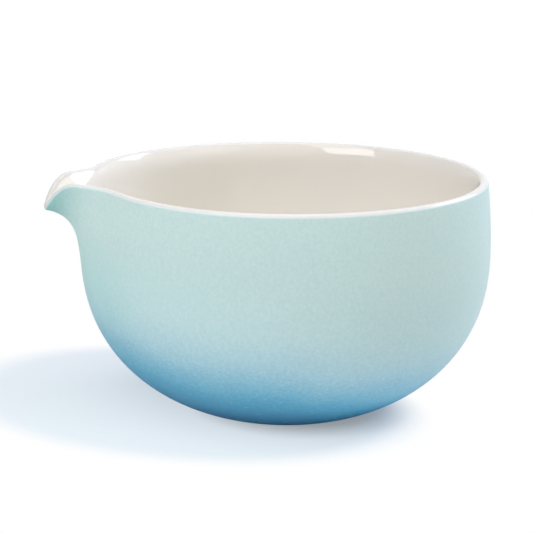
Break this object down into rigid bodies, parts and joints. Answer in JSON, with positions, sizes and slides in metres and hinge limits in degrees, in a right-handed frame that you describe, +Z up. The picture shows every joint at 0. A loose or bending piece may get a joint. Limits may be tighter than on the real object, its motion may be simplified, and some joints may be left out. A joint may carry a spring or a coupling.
{
  "type": "spouted matcha bowl",
  "caption": "Round matcha bowl with a pulled pouring spout and a foot ring: fired clay body, glossy glaze inside and over the rim, matte glaze outside.",
  "frame": {"origin": "on the bowl's axis at table level, at the centre of the foot ring's bearing face", "axes": "+Z up along the bowl's axis, -X along the pouring spout, Y across"},
  "size_m": [0.1416, 0.13, 0.0769],
  "materials": {
    "clay": "bare fired stoneware, pale cream, fine and dull",
    "gloss_glaze": "glossy cream-white",
    "matte_glaze": "matte, pale blue-green fading to mid blue at the foot, finely speckled"
  },
  "bodies": {
    "root": {"clay_body": "clay", "inner_glaze": "gloss_glaze", "outer_glaze": "matte_glaze"}
  },
  "joints": []
}
